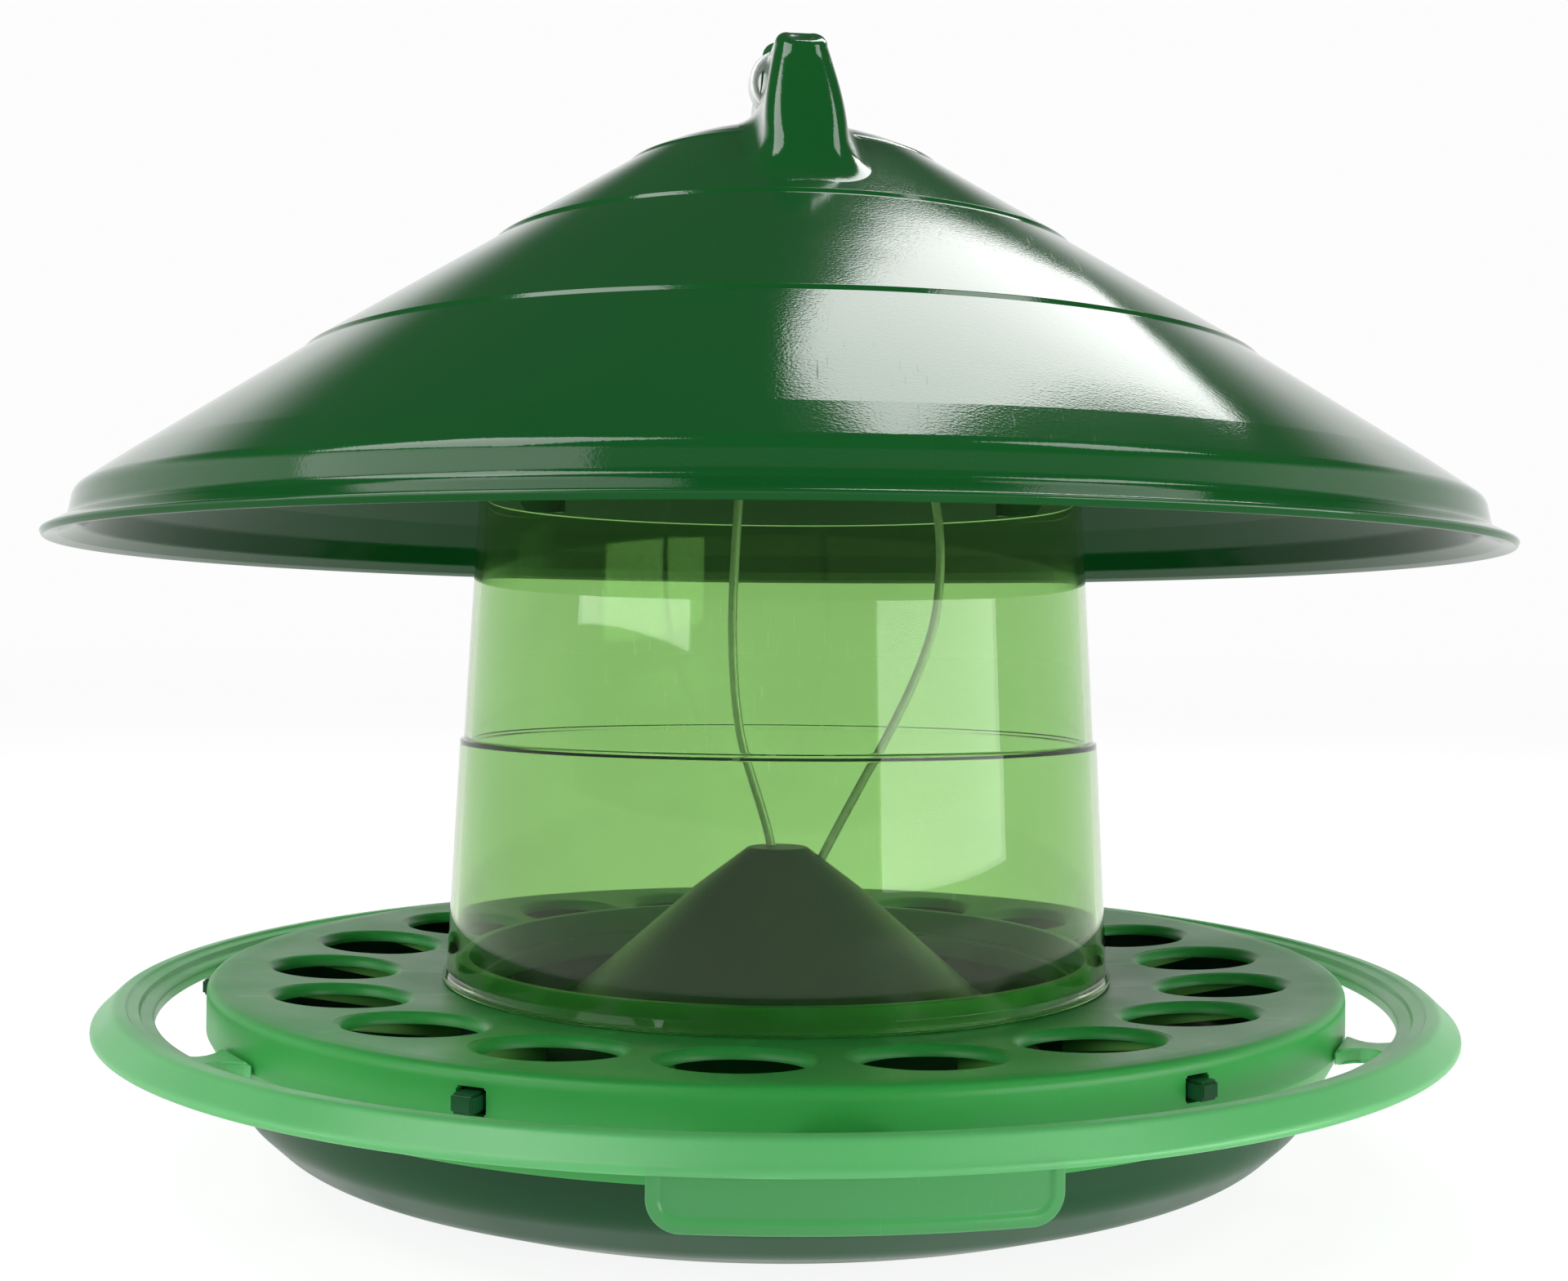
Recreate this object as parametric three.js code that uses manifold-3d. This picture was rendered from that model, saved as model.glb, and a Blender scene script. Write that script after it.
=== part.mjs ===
// Gravity poultry feeder: a roofed, transparent feed hopper over a round trough.
//
// Feed falls from the hopper on to a cone in the middle of the base pan and slides out under the
// feed ring, where birds reach it through eighteen round holes. A perch ring runs round the outside.
// A springy wire hooks into the cone, passes up through the hopper and the roof, and ends in an eye
// that the feeder hangs from. The roof slides up that wire for filling, and the hopper turns in a
// bayonet on the feed ring.
//
// Millimetres, +Z up, the front of the feeder at -Y. The origin is the centre of the ring that the
// base pan stands on.

import * as THREE from "three";
import { mergeVertices } from "three/addons/utils/BufferGeometryUtils.js";
import Module from "manifold-3d";

const wasm = await Module();
wasm.setup();

// ---------------------------------------------------------------- driving dimensions

const TAU = Math.PI * 2;
const FACETS = 60;                  // facets round a turned part
const GAP = 0.35;                   // clearance between pieces that touch

const TRAY_Z = 54;                  // height of the feed ring's outer top edge

const ROOF_WALL = 2.4;
const ROOF_RADIUS = 210;
const ROOF_RIM_Z = TRAY_Z + 123.6;
const ROOF_APEX_Z = TRAY_Z + 252;
const TIER_STEP = 1.1;              // height of the steps between the roof's tiers

const HANDLE_TURN = 5.5;            // degrees about Z between the handle and the Y axis
const HANDLE_TOP_Z = TRAY_Z + 268;  // of the front half, at its end
const HANDLE_RISE = 7;              // climb of the front half from its end to the eye
const HANDLE_PEAK_Z = TRAY_Z + 282; // of the rear half, behind the eye
const HANDLE_FOOT_Z = TRAY_Z + 222; // where the ends of the handle meet the roof
const HANDLE_FOOT_HALF_LENGTH = 77;
const HANDLE_FOOT_HALF_WIDTH = 11.6;
const HANDLE_WAIST_Z = TRAY_Z + 246; // above this the sides draw in
const HANDLE_WAIST_HALF_WIDTH = 10.4;
const HANDLE_TOP_HALF_WIDTH = 6.7;
const HANDLE_PEAK_HALF_WIDTH = 6;
const HANDLE_END_LEAN = 0.55;       // how far an end leans in, per millimetre of height
const NOTCH_HALF_WIDTH = 5.4;       // gap across the handle for the hanging eye
const NOTCH_HALF_LENGTH = 14;

const HOPPER_WALL = 2.2;
const HOPPER_BASE_RADIUS = 100.2;
const HOPPER_STEP_RADIUS = 95.9;
const HOPPER_TOP_RADIUS = 91;
const HOPPER_STEP_Z = TRAY_Z + 67;
const HOPPER_TOP_Z = TRAY_Z + 138;
const HOPPER_LEDGE = 1.1;

const RING_RADIUS = 166;
const RING_WALL = 2.5;
const RING_MOUTH_RADIUS = 89;       // opening that feed falls through
const RING_DISH = 0.065;            // fall of the top towards the middle, per millimetre
const RING_FLAT_RADIUS = 160;
const SKIRT_DEPTH = 23.5;

const HOLE_COUNT = 18;
const HOLE_PITCH_RADIUS = 132;
const HOLE_RADIUS = 17.8;
const HOLE_PHASE = 6;               // degrees
const FIN_THICKNESS = 1.6;

const SNAP_COUNT = 6;
const SNAP_PHASE = 6;
const SNAP_REACH = 170;             // radius that the snap hooks reach through the skirt

const SPIGOT_OUTER_RADIUS = 95.6;
const SPIGOT_INNER_RADIUS = 92.6;
const SPIGOT_TOP_Z = TRAY_Z + 3.2;
const LUG_COUNT = 3;
const LUG_PHASE = 90;
const LUG_HALF_ANGLE = 4.5;
const LUG_THICKNESS = 1.8;
const LUG_Z = TRAY_Z - 1.5;         // underside of a bayonet lug
const LUG_INNER_RADIUS = 93.4;
const BAYONET_TURN = 16;            // degrees from locked to free

const PERCH_OUTER_RADIUS = 196;
const PERCH_INNER_RADIUS = 179.5;
const PERCH_TOP_Z = TRAY_Z - 4;
const PERCH_BOTTOM_Z = TRAY_Z - 12;
const PERCH_WALL = 2.2;
const PERCH_FRONT = -85;            // degrees, the direction of the tab
const SPOKE_ANGLES = [0, 60, 112, 180, 248, 300];
const SPOKE_WIDTH = 8;
const SPOKE_TOP_Z = TRAY_Z - 10;
const SPOKE_BOTTOM_Z = TRAY_Z - 14;
const TAB_WIDTH = 85;
const TAB_BOTTOM_Z = TRAY_Z - 23;
const TAB_CORNER = 7;

const PAN_WALL = 2.5;
const PAN_RADIUS = 157;
const PAN_TOP_Z = TRAY_Z - 4.5;
const PAN_BOWL_Z = 20;              // where the upright wall turns into the bowl
const FOOT_OUTER_RADIUS = 108;
const FOOT_INNER_RADIUS = 99;
const CONE_TOP_RADIUS = 9;
const CONE_TOP_Z = TRAY_Z + 33.5;

const WIRE_RADIUS = 1.4;
const EYE_RADIUS = 9.6;             // of the wire's centre line
const EYE_Z = TRAY_Z + 266.5;
const EYE_TURNS = 1 + 316 / 360;     // the wire goes nearly twice round the eye
const EYE_PITCH = 3.15;             // from one turn of the eye to the next

// ---------------------------------------------------------------- materials

function plastic(color, roughness, opacity = 1) {
  return new THREE.MeshStandardMaterial({ color, roughness, metalness: 0, opacity, transparent: opacity < 1 });
}

const darkGreen = plastic(0x1c5028, 0.18);
const panGreen = plastic(0x1c4423, 0.3);
const ringGreen = plastic(0x4f9a58, 0.35, 0.95);
const perchGreen = plastic(0x6fca7c, 0.35, 0.9);
const clearGreen = plastic(0x9ad07a, 0.08, 0.45);
const steel = new THREE.MeshStandardMaterial({ color: 0xc4c8c8, roughness: 0.3, metalness: 1 });

// ---------------------------------------------------------------- solids from three.js geometry

const radians = (degrees) => (degrees * Math.PI) / 180;

function solid(geometry) {
  const bare = geometry.index ? geometry.toNonIndexed() : geometry.clone();
  bare.deleteAttribute("normal");
  bare.deleteAttribute("uv");
  const merged = mergeVertices(bare, 1e-4);
  const index = merged.index.array;
  const kept = [];
  for (let i = 0; i < index.length; i += 3) {
    const [a, b, c] = [index[i], index[i + 1], index[i + 2]];
    if (a !== b && b !== c && c !== a) {
      kept.push(a, b, c);
    }
  }
  const make = (triangles) => new wasm.Manifold(new wasm.Mesh({
    numProp: 3,
    vertProperties: new Float32Array(merged.attributes.position.array),
    triVerts: new Uint32Array(triangles),
  }));
  const body = make(kept);
  return body.volume() > 0 ? body : make(kept.slice().reverse());
}

function node(name, body, material) {
  const mesh = body.getMesh();
  const geometry = new THREE.BufferGeometry();
  geometry.setAttribute("position", new THREE.BufferAttribute(new Float32Array(mesh.vertProperties), 3));
  geometry.setIndex(new THREE.BufferAttribute(new Uint32Array(mesh.triVerts), 1));
  geometry.computeVertexNormals();
  const result = new THREE.Mesh(geometry, material);
  result.name = name;
  return result;
}

// A solid of revolution about Z from a closed outline of [radius, height] points.
function turned(outline, facets = FACETS) {
  const points = outline.map(([r, z]) => new THREE.Vector2(r, z));
  if (outline[0][0] > 0) {
    points.push(points[0].clone());
  }
  const geometry = new THREE.LatheGeometry(points, facets);
  geometry.rotateX(Math.PI / 2);
  return solid(geometry);
}

// An upright bar of a shape drawn in the XY plane, from one height to another.
function upright(shape, low, high) {
  const geometry = new THREE.ExtrudeGeometry(shape, { depth: high - low, bevelEnabled: false, curveSegments: 6 });
  geometry.translate(0, 0, low);
  return solid(geometry);
}

function block(centre, size, angle = 0) {
  const geometry = new THREE.BoxGeometry(...size);
  geometry.translate(...centre);
  geometry.rotateZ(radians(angle));
  return solid(geometry);
}

// A sector of a ring, between two radii and two angles in degrees.
function sector(inner, outer, from, to, low, high) {
  const shape = new THREE.Shape();
  shape.absarc(0, 0, outer, radians(from), radians(to), false);
  shape.absarc(0, 0, inner, radians(to), radians(from), true);
  shape.closePath();
  return upright(shape, low, high);
}

// A closed skin over a stack of outlines that all have the same number of points.
function lofted(sections) {
  const count = sections[0].length;
  const positions = sections.flat(2);
  const index = [];
  for (let s = 0; s + 1 < sections.length; s += 1) {
    for (let i = 0; i < count; i += 1) {
      const a = s * count + i;
      const b = s * count + ((i + 1) % count);
      index.push(a, b, b + count, a, b + count, a + count);
    }
  }
  for (let i = 1; i + 1 < count; i += 1) {
    const top = (sections.length - 1) * count;
    index.push(0, i + 1, i);
    index.push(top, top + i, top + i + 1);
  }
  const geometry = new THREE.BufferGeometry();
  geometry.setAttribute("position", new THREE.BufferAttribute(new Float32Array(positions), 3));
  geometry.setIndex(index);
  return solid(geometry);
}

// The outline shifted sideways by a wall's thickness, to the right of its direction of travel.
function offset(points, distance) {
  return points.map(([r, z], i) => {
    const before = points[Math.max(i - 1, 0)];
    const after = points[Math.min(i + 1, points.length - 1)];
    const run = [after[0] - before[0], after[1] - before[1]];
    const length = Math.hypot(run[0], run[1]);
    return [Math.max(r + (run[1] / length) * distance, 0), z - (run[0] / length) * distance];
  });
}

function arc(centreR, centreZ, radius, from, to, steps) {
  const points = [];
  for (let i = 0; i <= steps; i += 1) {
    const angle = radians(from + ((to - from) * i) / steps);
    points.push([centreR + radius * Math.cos(angle), centreZ + radius * Math.sin(angle)]);
  }
  return points;
}

function repeat(count, make) {
  return Array.from({ length: count }, (unused, i) => make(i));
}

function joined(body, others) {
  return others.reduce((sum, other) => sum.add(other), body);
}

function cut(body, others) {
  return others.reduce((rest, other) => rest.subtract(other), body);
}

// ---------------------------------------------------------------- roof

// The roof's outer surface, from the middle to the rim: a shallow dome, three conical tiers that
// each start a step lower than the one above ends, a rounded shoulder and a flared lip.
function roofSkin() {
  const domeRadius = 48;
  const domeDrop = 12.6;
  const dome = [0, 0.3, 0.65, 1].map((t) => [domeRadius * t, ROOF_APEX_Z - domeDrop * t * t]);
  const tiers = [
    [domeRadius + 0.6, ROOF_APEX_Z - domeDrop - TIER_STEP],
    [88.2, TRAY_Z + 212.7],
    [88.8, TRAY_Z + 212.7 - TIER_STEP],
    [142.2, TRAY_Z + 176.8],
    [142.8, TRAY_Z + 176.8 - TIER_STEP],
    [189, TRAY_Z + 143.9],
  ];
  const shoulder = [[197.2, TRAY_Z + 137.9], [201.4, TRAY_Z + 133.6], [203, TRAY_Z + 128.6]];
  return [...dome, ...tiers, ...shoulder, [205.4, TRAY_Z + 126.4], [ROOF_RADIUS, ROOF_RIM_Z]];
}

// A smoother surface inside the roof's outer one, by some depth below it.
function roofLining(depth) {
  const drop = depth * 1.2;
  return [
    [0, ROOF_APEX_Z - depth],
    [30, ROOF_APEX_Z - 5.2 - drop],
    [88, TRAY_Z + 211.3 - drop],
    [142, TRAY_Z + 175.6 - drop],
    [188, TRAY_Z + 143.7 - drop],
    [199.4 - depth * 0.4, TRAY_Z + 135.2 - drop],
    [203 - depth, TRAY_Z + 126.8],
    [204.8 - depth, ROOF_RIM_Z + 0.6],
  ];
}

// The handle is a long bar with leaning sides and ends, cut to its outline seen from the side.
function handleBar(shrink, low) {
  const levels = [
    [low, HANDLE_FOOT_HALF_WIDTH],
    [HANDLE_WAIST_Z, HANDLE_WAIST_HALF_WIDTH],
    [HANDLE_TOP_Z, HANDLE_TOP_HALF_WIDTH],
    [HANDLE_PEAK_Z, HANDLE_PEAK_HALF_WIDTH],
  ];
  const sections = levels.map(([z, halfWidth]) => {
    const length = HANDLE_FOOT_HALF_LENGTH - (z - HANDLE_FOOT_Z) * HANDLE_END_LEAN - shrink;
    const width = halfWidth - shrink;
    const corner = Math.min(4.5, width * 0.8);
    const points = [];
    for (const [sx, sy, from] of [[1, 1, 0], [-1, 1, 90], [-1, -1, 180], [1, -1, 270]]) {
      for (const [x, y] of arc(0, 0, corner, from, from + 90, 3)) {
        points.push([sx * (width - corner) + x, sy * (length - corner) + y, z]);
      }
    }
    return points;
  });
  const side = new THREE.Shape([
    new THREE.Vector2(-100, low - 5),
    new THREE.Vector2(100, low - 5),
    new THREE.Vector2(100, HANDLE_PEAK_Z - 40 - shrink),
    new THREE.Vector2(54, HANDLE_PEAK_Z - 16 - shrink),
    new THREE.Vector2(44, HANDLE_PEAK_Z - 5 - shrink),
    new THREE.Vector2(NOTCH_HALF_WIDTH, HANDLE_PEAK_Z - shrink),
    new THREE.Vector2(0, HANDLE_TOP_Z + HANDLE_RISE - shrink),
    new THREE.Vector2(-44, HANDLE_TOP_Z - shrink),
    new THREE.Vector2(-56, HANDLE_TOP_Z - 9 - shrink),
    new THREE.Vector2(-100, HANDLE_TOP_Z - 20 - shrink),
  ]);
  const geometry = new THREE.ExtrudeGeometry(side, { depth: 60, bevelEnabled: false });
  geometry.translate(0, 0, -30);
  geometry.rotateX(Math.PI / 2);
  geometry.rotateZ(Math.PI / 2);
  return lofted(sections).intersect(solid(geometry));
}

function turnedWithHandle(body) {
  return body.rotate([0, 0, HANDLE_TURN]);
}

function makeRoof() {
  const lipEdge = [[ROOF_RADIUS - 0.5, ROOF_RIM_Z - 1.9], [ROOF_RADIUS - 2.4, ROOF_RIM_Z - 1.6]];
  const shell = turned([...roofSkin(), ...lipEdge, ...roofLining(ROOF_WALL).reverse()]);
  const core = turned([...roofLining(ROOF_WALL / 2), [0, TRAY_Z + 80]]);

  const handle = turnedWithHandle(handleBar(0, HANDLE_FOOT_Z - 22)).subtract(core);
  const hollow = handleBar(ROOF_WALL, HANDLE_FOOT_Z - 22);
  const webs = block([0, 0, HANDLE_FOOT_Z], [60, (NOTCH_HALF_WIDTH + ROOF_WALL) * 2, 200]);
  const notch = block([0, 0, HANDLE_TOP_Z], [NOTCH_HALF_LENGTH * 2, NOTCH_HALF_WIDTH * 2, 100]);

  // Ribs under the roof stand on the hopper's rim.
  const rimZ = HOPPER_TOP_Z + GAP;
  const ribShape = new THREE.Shape([
    new THREE.Vector2(HOPPER_TOP_RADIUS - 8, rimZ),
    new THREE.Vector2(HOPPER_TOP_RADIUS + 7, rimZ),
    new THREE.Vector2(HOPPER_TOP_RADIUS + 16, rimZ + 10),
    new THREE.Vector2(HOPPER_TOP_RADIUS + 16, rimZ + 100),
    new THREE.Vector2(HOPPER_TOP_RADIUS - 8, rimZ + 100),
  ]);
  const ribs = [30, 150, 270].map((angle) => {
    const geometry = new THREE.ExtrudeGeometry(ribShape, { depth: 2.4, bevelEnabled: false });
    geometry.translate(0, 0, -1.2);
    geometry.rotateX(Math.PI / 2);
    geometry.rotateZ(radians(angle));
    return solid(geometry).intersect(core);
  });

  return cut(joined(shell, [handle, ...ribs]), [turnedWithHandle(hollow.subtract(webs)), turnedWithHandle(notch)]);
}

// ---------------------------------------------------------------- hopper

function makeHopper() {
  const base = TRAY_Z - (RING_FLAT_RADIUS - HOPPER_BASE_RADIUS) * RING_DISH + GAP;
  const wall = turned([
    [HOPPER_BASE_RADIUS, base],
    [HOPPER_STEP_RADIUS, HOPPER_STEP_Z - 0.8],
    [HOPPER_STEP_RADIUS - HOPPER_LEDGE, HOPPER_STEP_Z],
    [HOPPER_TOP_RADIUS, HOPPER_TOP_Z - 0.6],
    [HOPPER_TOP_RADIUS - 0.6, HOPPER_TOP_Z],
    [HOPPER_TOP_RADIUS - HOPPER_WALL + 0.5, HOPPER_TOP_Z],
    [HOPPER_TOP_RADIUS - HOPPER_WALL, HOPPER_TOP_Z - 0.6],
    [HOPPER_STEP_RADIUS - HOPPER_LEDGE - HOPPER_WALL, HOPPER_STEP_Z - 0.8],
    [HOPPER_STEP_RADIUS - HOPPER_WALL, HOPPER_STEP_Z - 1.8],
    [HOPPER_BASE_RADIUS - HOPPER_WALL, base],
  ]);
  const lugs = repeat(LUG_COUNT, (i) => {
    const middle = LUG_PHASE + (i * 360) / LUG_COUNT;
    const root = HOPPER_BASE_RADIUS - HOPPER_WALL / 2;
    return sector(LUG_INNER_RADIUS, root, middle - LUG_HALF_ANGLE, middle + LUG_HALF_ANGLE, LUG_Z,
      LUG_Z + LUG_THICKNESS);
  });
  return joined(wall, lugs);
}

// ---------------------------------------------------------------- feed ring

function ringTopAt(radius) {
  return TRAY_Z - (RING_FLAT_RADIUS - radius) * RING_DISH;
}

function makeFin(angle) {
  const inner = 106;
  const outer = 150;
  const shape = new THREE.Shape([
    new THREE.Vector2(inner, ringTopAt(inner) - RING_WALL / 2),
    new THREE.Vector2(outer, ringTopAt(outer) - RING_WALL / 2),
    new THREE.Vector2(outer, TRAY_Z - 4.2),
    new THREE.Vector2(inner, TRAY_Z - 12.4),
  ]);
  const geometry = new THREE.ExtrudeGeometry(shape, { depth: FIN_THICKNESS, bevelEnabled: false });
  geometry.translate(0, 0, -FIN_THICKNESS / 2);
  geometry.rotateX(Math.PI / 2);
  geometry.rotateZ(radians(angle));
  return solid(geometry);
}

function makeFeedRing() {
  const skirtZ = TRAY_Z - SKIRT_DEPTH;
  const lipZ = ringTopAt(RING_MOUTH_RADIUS) - 6.5;
  const cover = turned([
    [RING_MOUTH_RADIUS, ringTopAt(RING_MOUTH_RADIUS)],
    [RING_FLAT_RADIUS, TRAY_Z],
    ...arc(RING_RADIUS - 3.2, TRAY_Z - 3.2, 3.2, 90, 0, 2),
    [RING_RADIUS, TRAY_Z - 13],
    [PAN_RADIUS + 3.4, skirtZ],
    [PAN_RADIUS + 0.8, skirtZ],
    [RING_RADIUS - RING_WALL, TRAY_Z - 13],
    [RING_RADIUS - RING_WALL, TRAY_Z - RING_WALL - 0.6],
    [RING_MOUTH_RADIUS + 2.2, ringTopAt(RING_MOUTH_RADIUS + 2.2) - RING_WALL],
    [RING_MOUTH_RADIUS + 2, lipZ],
    [RING_MOUTH_RADIUS, lipZ],
  ]);

  const spigot = turned([
    [SPIGOT_OUTER_RADIUS, TRAY_Z - 5.5],
    [SPIGOT_OUTER_RADIUS, SPIGOT_TOP_Z],
    [SPIGOT_INNER_RADIUS, SPIGOT_TOP_Z],
    [SPIGOT_INNER_RADIUS, TRAY_Z - 5.5],
  ]);
  const slots = repeat(LUG_COUNT, (i) => {
    const middle = LUG_PHASE + (i * 360) / LUG_COUNT;
    const from = middle - LUG_HALF_ANGLE - 1.5;
    const to = middle + LUG_HALF_ANGLE + BAYONET_TURN + 1.5;
    const low = LUG_Z - 0.6;
    const inner = SPIGOT_INNER_RADIUS - 1;
    const outer = SPIGOT_OUTER_RADIUS + 1;
    const entry = sector(inner, outer, to - LUG_HALF_ANGLE * 2 - 3, to, low, SPIGOT_TOP_Z + 1);
    return sector(inner, outer, from, to, low, LUG_Z + LUG_THICKNESS + 0.6).add(entry);
  });

  const fins = repeat(HOLE_COUNT, (i) => makeFin(HOLE_PHASE + ((i + 0.5) * 360) / HOLE_COUNT));
  const holes = repeat(HOLE_COUNT, (i) => {
    const angle = radians(HOLE_PHASE + (i * 360) / HOLE_COUNT);
    const geometry = new THREE.CylinderGeometry(HOLE_RADIUS, HOLE_RADIUS, 30, 18);
    geometry.rotateX(Math.PI / 2);
    geometry.translate(HOLE_PITCH_RADIUS * Math.cos(angle), HOLE_PITCH_RADIUS * Math.sin(angle), TRAY_Z - 3);
    return solid(geometry);
  });
  const windows = repeat(SNAP_COUNT, (i) => block([RING_RADIUS, 0, TRAY_Z - 7], [12, 8, 6.4],
    SNAP_PHASE + (i * 360) / SNAP_COUNT));

  return cut(joined(cover, [spigot.subtract(joined(slots[0], slots.slice(1))), ...fins]), [...holes, ...windows]);
}

// ---------------------------------------------------------------- perch ring

function makePerchRing() {
  const channel = turned([
    [PERCH_INNER_RADIUS, PERCH_BOTTOM_Z],
    [PERCH_INNER_RADIUS, PERCH_TOP_Z - 2.2],
    [PERCH_INNER_RADIUS + 1.6, PERCH_TOP_Z - 0.4],
    [PERCH_INNER_RADIUS + 6, PERCH_TOP_Z],
    [PERCH_OUTER_RADIUS - 5.2, PERCH_TOP_Z - 1.4],
    [PERCH_OUTER_RADIUS - 1.6, PERCH_TOP_Z - 4.2],
    [PERCH_OUTER_RADIUS, PERCH_BOTTOM_Z],
    [PERCH_OUTER_RADIUS - PERCH_WALL, PERCH_BOTTOM_Z],
    [PERCH_OUTER_RADIUS - PERCH_WALL - 1.8, PERCH_TOP_Z - 5.2],
    [PERCH_INNER_RADIUS + PERCH_WALL + 1, PERCH_TOP_Z - 2.6],
    [PERCH_INNER_RADIUS + PERCH_WALL, PERCH_BOTTOM_Z],
  ]);

  const spokes = SPOKE_ANGLES.map((turn) => {
    const inner = RING_RADIUS + GAP;
    const outer = PERCH_INNER_RADIUS + PERCH_WALL - 0.2;
    const flare = 5;
    const half = SPOKE_WIDTH / 2;
    const shape = new THREE.Shape();
    shape.moveTo(inner + 0.1, -half - flare);
    shape.quadraticCurveTo(inner + 1.5, -half, (inner + outer) / 2, -half);
    shape.quadraticCurveTo(outer - 2.5, -half, outer - 0.6, -half - flare);
    shape.lineTo(outer - 0.6, half + flare);
    shape.quadraticCurveTo(outer - 2.5, half, (inner + outer) / 2, half);
    shape.quadraticCurveTo(inner + 1.5, half, inner + 0.1, half + flare);
    shape.closePath();
    const spoke = upright(shape, SPOKE_BOTTOM_Z, SPOKE_TOP_Z);
    const clear = turned([[0, 0], [inner, 0], [inner, TRAY_Z + 20], [0, TRAY_Z + 20]]);
    return spoke.rotate([0, 0, PERCH_FRONT + turn]).subtract(clear);
  });

  const tabHeight = PERCH_BOTTOM_Z + 1 - TAB_BOTTOM_Z;
  const tabShape = new THREE.Shape();
  tabShape.moveTo(-TAB_WIDTH / 2, tabHeight);
  tabShape.lineTo(-TAB_WIDTH / 2, TAB_CORNER);
  tabShape.absarc(-TAB_WIDTH / 2 + TAB_CORNER, TAB_CORNER, TAB_CORNER, Math.PI, Math.PI * 1.5, false);
  tabShape.absarc(TAB_WIDTH / 2 - TAB_CORNER, TAB_CORNER, TAB_CORNER, Math.PI * 1.5, TAU, false);
  tabShape.lineTo(TAB_WIDTH / 2, tabHeight);
  tabShape.closePath();
  const tabSweep = new THREE.ExtrudeGeometry(tabShape, { depth: 40, bevelEnabled: false, curveSegments: 5 });
  tabSweep.rotateX(Math.PI / 2);
  tabSweep.translate(0, -PERCH_OUTER_RADIUS + 25, TAB_BOTTOM_Z);
  tabSweep.rotateZ(radians(PERCH_FRONT + 90));
  const band = turned([
    [PERCH_OUTER_RADIUS - 3.6, TAB_BOTTOM_Z - 5],
    [PERCH_OUTER_RADIUS - 1, TAB_BOTTOM_Z - 5],
    [PERCH_OUTER_RADIUS - 1, PERCH_BOTTOM_Z + 1],
    [PERCH_OUTER_RADIUS - 3.6, PERCH_BOTTOM_Z + 1],
  ]);
  const tab = band.intersect(solid(tabSweep));

  return joined(channel, [...spokes, tab]);
}

// ---------------------------------------------------------------- base pan

// Feed side of the pan, from the middle of the cone to the foot of the upright wall.
function panFloor() {
  const cone = [
    [0, CONE_TOP_Z],
    [CONE_TOP_RADIUS, CONE_TOP_Z],
    [25, TRAY_Z + 21.5],
    [67, TRAY_Z - 15],
    [97, 10.4],
  ];
  const valley = [[102, 6], [111, 4.6]];
  const bowl = [[128, 8], [143, 14], [PAN_RADIUS - PAN_WALL, 23]];
  return [...cone, ...valley, ...bowl];
}

function makeBasePan(wire) {
  const floor = panFloor();
  const coneUnder = offset(floor.slice(0, 5), PAN_WALL);
  const underside = [
    [PAN_RADIUS, PAN_BOWL_Z + 0.5],
    [145, 11],
    [129, 4.4],
    [FOOT_OUTER_RADIUS, 0],
    [FOOT_INNER_RADIUS, 0],
    ...coneUnder.reverse(),
  ];
  const body = turned([
    ...floor,
    [PAN_RADIUS - PAN_WALL, PAN_TOP_Z],
    [PAN_RADIUS + 4.2, PAN_TOP_Z],
    [PAN_RADIUS + 4.2, PAN_TOP_Z - 2.2],
    [PAN_RADIUS, PAN_TOP_Z - 2.2],
    ...underside,
  ]);
  const hooks = repeat(SNAP_COUNT, (i) => block(
    [(PAN_RADIUS - 1 + SNAP_REACH) / 2, 0, TRAY_Z - 7],
    [SNAP_REACH - PAN_RADIUS + 1, 6, 4.6],
    SNAP_PHASE + (i * 360) / SNAP_COUNT,
  ));
  return cut(joined(body, hooks), wire.footHoles);
}

// ---------------------------------------------------------------- hanger wire

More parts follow.
